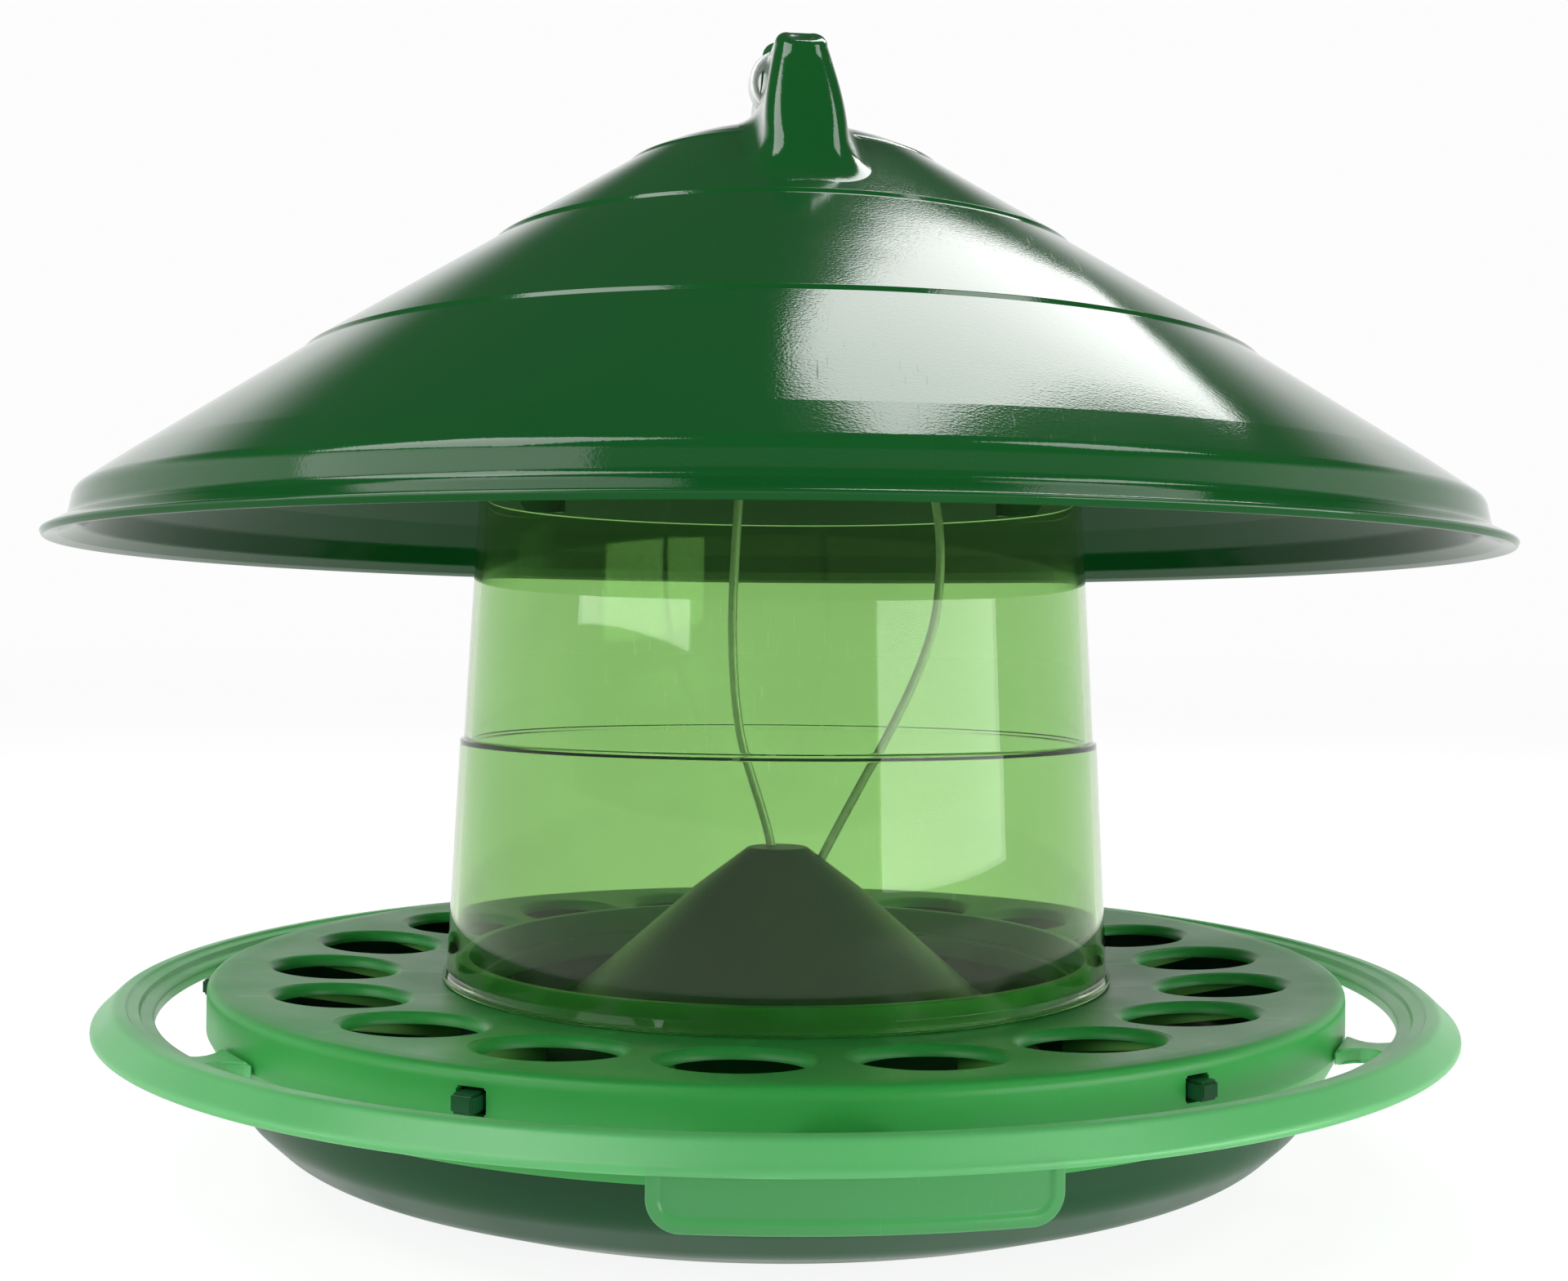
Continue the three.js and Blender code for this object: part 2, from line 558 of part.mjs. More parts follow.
// The wire's centre line: up the left leg, round the eye and down the right leg. Each leg ends in a
// hook inside the hollow of the cone.
function makeWire() {
  const turn = radians(HANDLE_TURN);
  const across = (x, y, z) => new THREE.Vector3(
    x * Math.cos(turn) - y * Math.sin(turn),
    x * Math.sin(turn) + y * Math.cos(turn),
    z,
  );
  const leftLeg = [
    [-8, 3, TRAY_Z + 21.5],
    [-4, 4, TRAY_Z + 22.5],
    [-1.6, 4.6, TRAY_Z + 27],
    [-1.9, 4.6, TRAY_Z + 34],
    [-5.8, 4.6, TRAY_Z + 47.4],
    [-9.4, 4, TRAY_Z + 58],
    [-12.4, 3, TRAY_Z + 70],
    [-14.2, 2, TRAY_Z + 88],
    [-14.6, 1, TRAY_Z + 108],
    [-12.6, 0, TRAY_Z + 145],
    [-8.2, 0, TRAY_Z + 190],
    [-4, 0, TRAY_Z + 222],
  ].map((p) => new THREE.Vector3(...p));
  const rightLeg = [
    [4.6, 1, TRAY_Z + 228],
    [22, 2, TRAY_Z + 200],
    [40, 3, TRAY_Z + 168],
    [49.6, 4, TRAY_Z + 136],
    [49.4, 4, TRAY_Z + 108],
    [44.4, 4, TRAY_Z + 90],
    [34.6, 4, TRAY_Z + 69],
    [23.6, 3.6, TRAY_Z + 49],
    [14.4, 3, TRAY_Z + 31.6],
    [11.6, 3, TRAY_Z + 25.6],
    [11.6, 5, TRAY_Z + 21],
    [13.6, 9, TRAY_Z + 17.4],
  ].map((p) => new THREE.Vector3(...p));
  const neck = 2.1;
  const spread = (EYE_TURNS * EYE_PITCH) / 2;
  const eye = repeat(25, (i) => {
    const angle = radians(-112 - (i * EYE_TURNS * 360) / 24);
    const y = -spread + (i * EYE_TURNS * EYE_PITCH) / 24;
    return across(EYE_RADIUS * Math.cos(angle), y, EYE_Z + EYE_RADIUS * Math.sin(angle));
  });
  const path = new THREE.CatmullRomCurve3([
    ...leftLeg,
    across(-neck, -spread, TRAY_Z + 246),
    ...eye,
    across(neck, spread, TRAY_Z + 246),
    ...rightLeg,
  ], false, "centripetal");
  const section = new THREE.Shape();
  section.absarc(0, 0, WIRE_RADIUS, 0, TAU, false);
  const geometry = new THREE.ExtrudeGeometry(section, {
    steps: 150,
    curveSegments: 4,
    bevelEnabled: false,
    extrudePath: path,
  });

  // Holes through the cone where the legs pass, each along its leg.
  const footHoles = [[leftLeg[2], leftLeg[3]], [rightLeg[9], rightLeg[8]]].map(([below, above]) => {
    const along = above.clone().sub(below).normalize();
    const hole = new THREE.CylinderGeometry(WIRE_RADIUS + 0.9, WIRE_RADIUS + 0.9, 26, 12);
    hole.applyQuaternion(new THREE.Quaternion().setFromUnitVectors(new THREE.Vector3(0, 1, 0), along));
    const middle = below.clone().lerp(above, 0.5);
    hole.translate(middle.x, middle.y, middle.z);
    return solid(hole);
  });
  return { body: solid(geometry), footHoles };
}

// ---------------------------------------------------------------- the feeder

const wire = makeWire();
const group = new THREE.Group();
group.add(node("base_pan", makeBasePan(wire), panGreen));
group.add(node("feed_ring", makeFeedRing(), ringGreen));
group.add(node("perch_ring", makePerchRing(), perchGreen));
group.add(node("hopper", makeHopper(), clearGreen));
group.add(node("roof", makeRoof(), darkGreen));
group.add(node("hanger_wire", wire.body, steel));

export default group;
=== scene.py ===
"""Looks for the gravity poultry feeder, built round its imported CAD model.

Outlines are (radius, height, fillet) corners in millimetres, with heights measured from the tray plane,
the flat top of the feed ring. They are scaled to metres when a mesh is made. The feeder's front faces -Y.
"""

import math

import bmesh
import bpy
from mathutils import Matrix, Vector


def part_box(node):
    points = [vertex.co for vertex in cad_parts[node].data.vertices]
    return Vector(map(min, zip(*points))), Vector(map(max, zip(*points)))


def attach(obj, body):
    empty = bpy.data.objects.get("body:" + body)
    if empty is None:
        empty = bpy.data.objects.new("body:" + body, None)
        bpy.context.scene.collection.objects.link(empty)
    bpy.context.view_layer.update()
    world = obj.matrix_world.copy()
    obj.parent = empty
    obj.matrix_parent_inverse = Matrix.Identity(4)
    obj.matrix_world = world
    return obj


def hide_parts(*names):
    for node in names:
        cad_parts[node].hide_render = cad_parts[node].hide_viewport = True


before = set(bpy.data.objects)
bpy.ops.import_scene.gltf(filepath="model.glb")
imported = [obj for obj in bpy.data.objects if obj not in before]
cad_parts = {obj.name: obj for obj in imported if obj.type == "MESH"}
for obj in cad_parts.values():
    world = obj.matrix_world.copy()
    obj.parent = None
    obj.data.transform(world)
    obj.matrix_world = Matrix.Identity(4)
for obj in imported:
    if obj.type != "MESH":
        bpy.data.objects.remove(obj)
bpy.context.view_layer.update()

# ------------------------------------------------------------------ sizes from the frame, in mm

MM = 0.001


def node_box(name):
    """The low and high corners of a CAD node's box, in mm above the ground."""
    low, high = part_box(name)
    return Vector(low) / MM, Vector(high) / MM


SPIGOT_RISE = 3.2
TRAY_Z = node_box("feed_ring")[1].z - SPIGOT_RISE
ROOF_RADIUS = node_box("roof")[1].x
ROOF_RIM = node_box("roof")[0].z - TRAY_Z
HANDLE_PEAK = node_box("roof")[1].z - TRAY_Z
HANDLE_TOP = HANDLE_PEAK - 14.0
HOPPER_RADIUS = node_box("hopper")[1].x
HOPPER_TOP = node_box("hopper")[1].z - TRAY_Z
HOPPER_BASE = -3.55
RING_RADIUS = node_box("feed_ring")[1].x
PERCH_RADIUS = node_box("perch_ring")[1].x
PERCH_TOP = node_box("perch_ring")[1].z - TRAY_Z
GROUND = -TRAY_Z
PAN_RADIUS = 157.0
EYE_TOP = node_box("hanger_wire")[1].z - TRAY_Z

HOLE_COUNT = 18
HOLE_PITCH_RADIUS = 132.0
HOLE_PHASE = 6.0
SNAP_COUNT = 6
SNAP_PHASE = 6.0
PERCH_FRONT = -85.0
SPOKE_TURNS = (0, 60, 112, 180, 248, 300)
HANDLE_TURN = 5.5
SMOOTH = 288


# ------------------------------------------------------------------ mesh helpers

def rounded(corners, steps=5):
    """The closed outline through (radius, height, fillet) corners, with a curve at each fillet."""
    outline = []
    count = len(corners)
    for i, corner in enumerate(corners):
        here = Vector(corner[:2])
        fillet = corner[2] if len(corner) > 2 else 0
        before = Vector(corners[i - 1][:2]) - here
        after = Vector(corners[(i + 1) % count][:2]) - here
        if fillet <= 0:
            outline.append(here)
            continue
        half = before.angle(after) / 2
        reach = min(fillet / math.tan(half), before.length * 0.49, after.length * 0.49)
        start = here + before.normalized() * reach
        end = here + after.normalized() * reach
        for step in range(steps + 1):
            t = step / steps
            outline.append(start * (1 - t) ** 2 + here * 2 * t * (1 - t) + end * t ** 2)
    return outline


def mesh_object(name, bm, sharp=32):
    """An object from a bmesh, smooth shaded except at edges sharper than this angle."""
    bmesh.ops.recalc_face_normals(bm, faces=bm.faces)
    mesh = bpy.data.meshes.new(name)
    bm.to_mesh(mesh)
    bm.free()
    mesh.polygons.foreach_set("use_smooth", [True] * len(mesh.polygons))
    mesh.set_sharp_from_angle(angle=math.radians(sharp))
    obj = bpy.data.objects.new(name, mesh)
    bpy.context.collection.objects.link(obj)
    return obj


def supported(outline, margin=0.3, long=3.0):
    """The outline with a point near both ends of each long straight, so that its shading stays even."""
    points = []
    for i, here in enumerate(outline):
        here = Vector(here[:2])
        points.append(here)
        step = Vector(outline[(i + 1) % len(outline)][:2]) - here
        if step.length > long:
            points.append(here + step.normalized() * margin)
            points.append(here + step - step.normalized() * margin)
    return points


def lathe(name, outline, segments=SMOOTH, sharp=32):
    """A closed solid of revolution. Outline points on the axis become single vertices."""
    bm = bmesh.new()
    rings = []
    for r, z in supported(outline):
        if r < 1e-6:
            rings.append([bm.verts.new((0, 0, (z + TRAY_Z) * MM))] * segments)
            continue
        ring = []
        for i in range(segments):
            angle = math.tau * i / segments
            x, y = r * math.cos(angle), r * math.sin(angle)
            ring.append(bm.verts.new((x * MM, y * MM, (z + TRAY_Z) * MM)))
        rings.append(ring)
    for lower, upper in zip(rings, rings[1:] + rings[:1]):
        for i in range(segments):
            j = (i + 1) % segments
            corners = []
            for vertex in (lower[i], lower[j], upper[j], upper[i]):
                if vertex not in corners:
                    corners.append(vertex)
            if len(corners) > 2:
                bm.faces.new(corners)
    return mesh_object(name, bm, sharp)


def prism(name, outline, thickness, placed, sharp=32, bevel=0.0):
    """A plate with this XY outline in mm, thickness along Z about zero, placed by a matrix in mm."""
    bm = bmesh.new()
    rings = []
    for z in (-thickness / 2, thickness / 2):
        rings.append([bm.verts.new((x, y, z)) for x, y in outline])
    count = len(outline)
    bm.faces.new(rings[0][::-1])
    bm.faces.new(rings[1])
    for i in range(count):
        j = (i + 1) % count
        bm.faces.new((rings[0][i], rings[0][j], rings[1][j], rings[1][i]))
    if bevel > 0:
        edges = list(bm.edges)
        bmesh.ops.bevel(bm, geom=edges, offset=bevel, segments=3, affect="EDGES", clamp_overlap=True)
    raised = Matrix.Translation((0, 0, TRAY_Z)) @ placed
    bmesh.ops.transform(bm, matrix=Matrix.Scale(MM, 4) @ raised, verts=bm.verts)
    return mesh_object(name, bm, sharp)


def turn(degrees):
    return Matrix.Rotation(math.radians(degrees), 4, "Z")


def upright(degrees):
    """Stands an XY outline on edge, in the plane through the axis at this angle."""
    return turn(degrees) @ Matrix.Rotation(math.radians(90), 4, "X")


def box_at(name, centre, size, degrees, bevel):
    """A box with its centre in mm from the axis and the tray plane, turned about the axis."""
    half_x, half_y = size[0] / 2, size[1] / 2
    outline = [(-half_x, -half_y), (half_x, -half_y), (half_x, half_y), (-half_x, half_y)]
    return prism(name, outline, size[2], turn(degrees) @ Matrix.Translation(centre), bevel=bevel)


def join(objects, name):
    """One object made of several, kept as separate shells."""
    bm = bmesh.new()
    for obj in objects:
        bm.from_mesh(obj.data)
    for obj in objects:
        bpy.data.objects.remove(obj)
    return mesh_object(name, bm)


def carve(obj, cutter, sharp):
    """Cuts the cutter's shape out of the object and removes the cutter."""
    modifier = obj.modifiers.new("carve", "BOOLEAN")
    modifier.object = cutter
    modifier.operation = "DIFFERENCE"
    modifier.solver = "EXACT"
    modifier.use_self = True
    evaluated = obj.evaluated_get(bpy.context.evaluated_depsgraph_get())
    result = bpy.data.meshes.new_from_object(evaluated)
    obj.modifiers.clear()
    obj.data = result
    result.polygons.foreach_set("use_smooth", [True] * len(result.polygons))
    result.set_sharp_from_angle(angle=math.radians(sharp))
    bpy.data.objects.remove(cutter)


# ------------------------------------------------------------------ materials

class Material:
    """A small node graph builder for one surface."""

    def __init__(self, name):
        self.material = bpy.data.materials.new(name)
        self.material.use_nodes = True
        self.tree = self.material.node_tree
        self.shader = self.tree.nodes["Principled BSDF"]
        self.place = self.tree.nodes.new("ShaderNodeTexCoord").outputs["Object"]

    def link(self, source, target):
        self.tree.links.new(source, target)

    def mapped(self, scale=(1, 1, 1), rotation=(0, 0, 0)):
        node = self.tree.nodes.new("ShaderNodeMapping")
        node.inputs["Scale"].default_value = scale
        node.inputs["Rotation"].default_value = rotation
        self.link(self.place, node.inputs["Vector"])
        return node.outputs["Vector"]

    def noise(self, scale, detail=2.0, vector=None):
        node = self.tree.nodes.new("ShaderNodeTexNoise")
        node.inputs["Scale"].default_value = scale
        node.inputs["Detail"].default_value = detail
        node.inputs["Roughness"].default_value = 0.5
        self.link(vector or self.place, node.inputs["Vector"])
        return node.outputs["Fac"]

    def ramp(self, source, low, high, from_value=0.0, to_value=1.0):
        node = self.tree.nodes.new("ShaderNodeMapRange")
        node.inputs["From Min"].default_value = low
        node.inputs["From Max"].default_value = high
        node.inputs["To Min"].default_value = from_value
        node.inputs["To Max"].default_value = to_value
        self.link(source, node.inputs["Value"])
        return node.outputs["Result"]

    def math(self, operation, a, b=None):
        node = self.tree.nodes.new("ShaderNodeMath")
        node.operation = operation
        for value, socket in ((a, node.inputs[0]), (b, node.inputs[1])):
            if value is None:
                continue
            if isinstance(value, (int, float)):
                socket.default_value = value
            else:
                self.link(value, socket)
        return node.outputs[0]

    def mix(self, factor, a, b):
        node = self.tree.nodes.new("ShaderNodeMix")
        node.data_type = "RGBA"
        self.link(factor, node.inputs["Factor"])
        for value, socket in ((a, node.inputs[6]), (b, node.inputs[7])):
            if isinstance(value, tuple):
                socket.default_value = (*value, 1)
            else:
                self.link(value, socket)
        return node.outputs[2]

    def bump(self, height, distance, normal=None):
        node = self.tree.nodes.new("ShaderNodeBump")
        node.inputs["Distance"].default_value = distance
        node.inputs["Strength"].default_value = 1.0
        self.link(height, node.inputs["Height"])
        if normal is not None:
            self.link(normal, node.inputs["Normal"])
        return node.outputs["Normal"]

    def scratches(self, amount=0.04):
        """Thin marks in three directions, 1 where there is one."""
        marks = None
        for spin in (0.3, 1.5, 2.5):
            stretched = self.mapped(scale=(1700, 70, 90), rotation=(0.4 * spin, 0.2, spin))
            mark = self.ramp(self.noise(1.0, 1.0, stretched), 0.78 - amount, 0.8 - amount)
            marks = mark if marks is None else self.math("MAXIMUM", marks, mark)
        return marks

    def sparse(self, marks, scale=14.0):
        """Keeps marks only in some patches."""
        return self.math("MULTIPLY", marks, self.ramp(self.noise(scale, 2.0), 0.5, 0.62))


def lighter(colour, amount):
    return tuple(min(channel * amount, 1) for channel in colour)


def plastic(name, colour, gloss, scratch=0.3, warp=0.00016, grain=0.000016, edge_highlight=1.35):
    """Injection-moulded plastic: slow colour drift, a painted highlight along convex edges, handling
    scratches, warp and grain.

    gloss is the roughness, warp and grain are bump depths in metres, and the last argument sets how pale
    the painted highlight on convex edges is.
    """
    m = Material(name)
    drift = m.ramp(m.noise(7.0, 3.0), 0.3, 0.7)
    base = m.mix(drift, lighter(colour, 0.92), lighter(colour, 1.08))
    wear = m.sparse(m.scratches())
    # Painted highlight: convex edges, found by pointiness, are painted paler as if they caught the light.
    highlight_edges = m.tree.nodes.new("ShaderNodeNewGeometry").outputs["Pointiness"]
    base = m.mix(m.ramp(highlight_edges, 0.52, 0.6, 0, 0.6), base, lighter(colour, edge_highlight))
    base = m.mix(m.ramp(wear, 0, 1, 0, scratch * 0.5), base, lighter(colour, 1.8))
    m.link(base, m.shader.inputs["Base Color"])
    rough = m.ramp(m.noise(30.0, 4.0), 0.3, 0.7, gloss * 0.85, gloss * 1.15)
    m.link(m.math("ADD", rough, m.ramp(wear, 0, 1, 0, scratch * 0.35)), m.shader.inputs["Roughness"])
    normal = m.bump(m.noise(16.0, 2.0), warp)
    normal = m.bump(m.noise(1400.0, 1.0), grain, normal=normal)
    m.link(normal, m.shader.inputs["Normal"])
    m.shader.inputs["IOR"].default_value = 1.5
    return m


def dull_below(m):
    """Faces that look down, the inside of a cover, shine less than the faces above."""
    split = m.tree.nodes.new("ShaderNodeSeparateXYZ")
    m.link(m.tree.nodes.new("ShaderNodeNewGeometry").outputs["True Normal"], split.inputs[0])
    m.link(m.ramp(split.outputs["Z"], -0.25, 0.0, 0.12, 0.5), m.shader.inputs["Specular IOR Level"])


roof_green = plastic("roof_green", (0.005, 0.078, 0.014), 0.09)
dull_below(roof_green)
pan_green = plastic("pan_green", (0.006, 0.062, 0.018), 0.36, grain=0.000004)
pan_green.shader.inputs["Specular IOR Level"].default_value = 0.25

ring_green = plastic("ring_green", (0.032, 0.32, 0.058), 0.4)
ring_green.shader.inputs["Specular IOR Level"].default_value = 0.35
ring_green.shader.inputs["Subsurface Weight"].default_value = 0.35
ring_green.shader.inputs["Subsurface Radius"].default_value = (0.2, 1.0, 0.3)
ring_green.shader.inputs["Subsurface Scale"].default_value = 0.006

# The fins are the ring's own plastic painted paler, a painted glow of light through their thin edges; their
# transmission is real.
fin_painted_light_green = plastic("fin_painted_light_green", (0.20, 0.62, 0.12), 0.4)
fin_painted_light_green.shader.inputs["Transmission Weight"].default_value = 0.3

perch_green = plastic("perch_green", (0.17, 0.67, 0.23), 0.36)
perch_green.shader.inputs["Transmission Weight"].default_value = 0.45

tab_green = plastic("tab_green", (0.075, 0.44, 0.12), 0.36)
tab_green.shader.inputs["Transmission Weight"].default_value = 0.45

hopper_clear = plastic("hopper_clear", (0.51, 0.735, 0.39), 0.02, scratch=0.4, warp=0.000032, grain=0.0)
hopper_clear.shader.inputs["Transmission Weight"].default_value = 0.98
hopper_clear.shader.inputs["IOR"].default_value = 1.3

galvanised = Material("galvanised")
spangle = galvanised.noise(420.0, 3.0)
galvanised.link(
    galvanised.mix(galvanised.ramp(spangle, 0.35, 0.65), (0.66, 0.68, 0.67), (0.80, 0.81, 0.80)),
    galvanised.shader.inputs["Base Color"])
galvanised.link(galvanised.ramp(spangle, 0.3, 0.7, 0.42, 0.58), galvanised.shader.inputs["Roughness"])
galvanised.link(galvanised.bump(galvanised.noise(160.0, 2.0), 0.00001), galvanised.shader.inputs["Normal"])
galvanised.shader.inputs["Metallic"].default_value = 0.5


def finish_piece(obj, material, slot, body, *nodes):
    obj.data.materials.clear()
    obj.data.materials.append(material.material)
    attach(obj, body)
    if nodes:
        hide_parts(*nodes)


# ------------------------------------------------------------------ roof

DOME_RADIUS = 48.0
DOME_TOP = 252.0
DOME_DROP = 12.6
ROOF_WALL = 2.4
TIER_TOP = 238.9
TIER_SLOPE = 0.655


def dome(count):
    """The shallow dome at the top of the roof, from the axis outwards."""
    points = []
    for i in range(count + 1):
        share = i / count
        points.append((DOME_RADIUS * share, DOME_TOP - DOME_DROP * share ** 2, 0))
    return points


roof_outer = [
    (DOME_RADIUS + 0.9, 238.3, 0.4),
    (88.1, 212.8, 0.8),
    (88.9, 211.5, 0.4),
    (142.1, 176.9, 0.8),
    (142.9, 175.6, 0.4),
    (189.0, 143.9, 9.0),
    (201.6, 134.8, 5.0),
    (203.0, 127.4, 3.0),
    (ROOF_RADIUS, ROOF_RIM + 2.1, 0.9),
    (ROOF_RADIUS - 0.9, ROOF_RIM + 0.1, 0.8),
]
roof_inner = [
    (ROOF_RADIUS - 4.5, ROOF_RIM + 1.4, 1.0),
    (203.0 - ROOF_WALL, 126.0, 2.0),
    (199.2 - ROOF_WALL * 0.6, 132.6, 4.0),
    (188.0, 140.9, 6.0),
    (142.0, 172.9, 1.0),
    (88.0, 208.6, 1.0),
    (30.0, 243.9, 8.0),
    (0.0, DOME_TOP - ROOF_WALL, 0),
]
roof = lathe("roof_shell", rounded(dome(10) + roof_outer + roof_inner, 6), segments=384, sharp=60)


def roof_height(radius):
    """Height of the roof's outer surface at a radius, on the dome or the slope below it."""
    if radius < DOME_RADIUS:
        return DOME_TOP - DOME_DROP * (radius / DOME_RADIUS) ** 2
    return TIER_TOP - (radius - DOME_RADIUS) * TIER_SLOPE


NOTCH_HALF_WIDTH = 5.4
NOTCH_HALF_LENGTH = 14.0
FOOT_Z = 222.0
FOOT_HALF_LENGTH = 77.0
TOP_HALF_WIDTH = 6.7
SIDE_SPREAD = 4.7
SIDE_DROP = 34.0
SIDE_CURVE = 1.3
PEAK_LEAN = 0.05
END_LEAN = 0.55
FOOT_FILLET = 8.0
TOE_SINK = 0.12
CORNER_RADIUS = 6.0
END_INSET = 1.5
END_SPREAD = 1.2


def handle_half_width(z):
    """The sides draw in from a broad foot to a narrow grip."""
    drop = min(max((HANDLE_TOP - z) / SIDE_DROP, 0), 1)
    spread = SIDE_SPREAD * math.sin(math.radians(90 * drop)) ** SIDE_CURVE
    return TOP_HALF_WIDTH + spread - PEAK_LEAN * max(z - HANDLE_TOP, 0)


RING_CORNER_STEPS = 14


def handle_ring(z, inset, spread=0.0):
    """The handle's outline at a height: a long rounded rectangle, pulled in by inset and out by spread."""
    half_length = FOOT_HALF_LENGTH - (z - FOOT_Z) * END_LEAN - inset * END_INSET + spread * END_SPREAD
    half_width = handle_half_width(z) - inset + spread
    corner = min(CORNER_RADIUS + spread, half_width * 0.85)
    points = []
    for quarter, (sx, sy) in enumerate(((1, 1), (-1, 1), (-1, -1), (1, -1))):
        for i in range(RING_CORNER_STEPS + 1):
            angle = math.radians(90 * quarter + 90 * i / RING_CORNER_STEPS)
            points.append((
                sx * (half_width - corner) + corner * math.cos(angle),
                sy * (half_length - corner) + corner * math.sin(angle),
            ))
    stretch = 24
    ring = []
    for i, (x, y) in enumerate(points):
        ring.append((x, y))
        following = points[(i + 1) % len(points)]
        if abs(following[1] - y) > 20:
            ring += [(x + (following[0] - x) * k / stretch, y + (following[1] - y) * k / stretch)
                     for k in range(1, stretch)]
    return ring


FRONT_RISE = 7.0
REAR_DROP = 5.0
REAR_START = 2.0
HANDLE_REACH = 48.0
ROUND_FROM = 45.0
ROUND_RATE = 0.05
CROWN = 4.6
CROWN_LEVELS = 8
WALL_LEVELS = 8
FOOT_LEVELS = 8


def climb(y):
    """Both halves of the handle climb towards the eye, and the rear half stands higher."""
    share = 1 - min(max(abs(y) - NOTCH_HALF_WIDTH, 0) / (HANDLE_REACH - NOTCH_HALF_WIDTH), 1)
    if y < 0:
        return FRONT_RISE * share
    return (HANDLE_PEAK - HANDLE_TOP - REAR_DROP * (1 - share)) * min(y / REAR_START, 1)


def round_over(y):
    """How far both ends of the handle's top fall away."""
    past = max(abs(y) - ROUND_FROM, 0)
    return past * past * ROUND_RATE


def make_handle():
    """The handle as rings of points from its crown, down its walls and out over its foot fillet."""
    bm = bmesh.new()
    shoulders = []
    for x, y in handle_ring(HANDLE_TOP - CROWN, 0):
        shoulders.append(HANDLE_TOP - CROWN + climb(y) - round_over(y))
    rings = []
    for i in range(CROWN_LEVELS):
        angle = math.radians(90 * (1 - i / (CROWN_LEVELS - 1)))
        ring = []
        for k, shoulder in enumerate(shoulders):
            x, y = handle_ring(shoulder, CROWN * (1 - math.cos(angle)))[k]
            ring.append(Vector((x, y, shoulder + CROWN * math.sin(angle))))
        rings.append(ring)

    # The walls run down to the fillet, which sweeps out on to the roof, wherever the roof happens to be.
    feet = [FOOT_Z + 6] * len(shoulders)
    for _ in range(4):
        for k in range(len(feet)):
            x, y = handle_ring(feet[k], 0)[k]
            feet[k] = roof_height(math.hypot(x, y)) + FOOT_FILLET
    for i in range(1, WALL_LEVELS + 1):
        ring = []
        for k, (shoulder, foot) in enumerate(zip(shoulders, feet)):
            z = shoulder + (min(foot, shoulder - 0.5) - shoulder) * i / WALL_LEVELS
            ring.append(Vector((*handle_ring(z, 0)[k], z)))
        rings.append(ring)
    wall_feet = rings[-1]
    for i in range(1, FOOT_LEVELS + 1):
        t = i / FOOT_LEVELS
        ring = []
        for k, start in enumerate(wall_feet):
            x, y = handle_ring(feet[k] - FOOT_FILLET, 0)[k]
            corner = Vector((x, y, roof_height(math.hypot(x, y))))
            x, y = handle_ring(feet[k] - FOOT_FILLET, 0, FOOT_FILLET)[k]
            toe = Vector((x, y, roof_height(math.hypot(x, y)) - TOE_SINK))
            ring.append(start * (1 - t) ** 2 + corner * 2 * t * (1 - t) + toe * t ** 2)
        rings.append(ring)
    base = []
    for point in rings[-1]:
        base.append(Vector((point.x * 0.9, point.y * 0.97, point.z - 1.2)))
    rings.append(base)

    made = [[bm.verts.new((p + Vector((0, 0, TRAY_Z))) * MM) for p in ring] for ring in rings]
    for upper, lower in zip(made, made[1:]):
        for i in range(len(upper)):
            j = (i + 1) % len(upper)
            bm.faces.new((upper[i], upper[j], lower[j], lower[i]))
    # The top is closed by strips across, from each point to the one that mirrors it.
    top = made[0]
    mirror = 2 * RING_CORNER_STEPS + 1
    for k in range(len(top) // 2 - 1):
        a = RING_CORNER_STEPS - k
        bm.faces.new((top[a], top[a - 1], top[(mirror - a + 1) % len(top)], top[(mirror - a) % len(top)]))
    bm.faces.new(made[-1][::-1])
    bmesh.ops.rotate(bm, verts=bm.verts, matrix=Matrix.Rotation(math.radians(HANDLE_TURN), 3, "Z"))
    return mesh_object("roof_handle", bm, 40)


def notch():
    """The slot through the roof and its handle that lets the wire's eye stand out."""
    size = (NOTCH_HALF_LENGTH * 2, NOTCH_HALF_WIDTH * 2, 80)
    return box_at("notch", (0, 0, HANDLE_TOP), size, HANDLE_TURN, bevel=1.0)


handle = make_handle()
carve(roof, notch(), sharp=60)
carve(handle, notch(), sharp=40)

RIB_ANGLES = (30, 150, 270)
RIB_THICKNESS = 2.4
hopper_rim = HOPPER_TOP + 0.35
rib_outline = [
    (83, hopper_rim), (98, hopper_rim), (107, hopper_rim + 10), (107, 197.0), (83, 212.0),
]
ribs = [prism("rib", rib_outline, RIB_THICKNESS, upright(a), bevel=0.3) for a in RIB_ANGLES]
rib_set = join(ribs, "roof_ribs")

finish_piece(roof, roof_green, "roof_green_plastic", "roof", "roof")
finish_piece(handle, roof_green, "roof_green_plastic", "roof")
finish_piece(rib_set, roof_green, "roof_green_plastic", "roof")

# ------------------------------------------------------------------ hopper

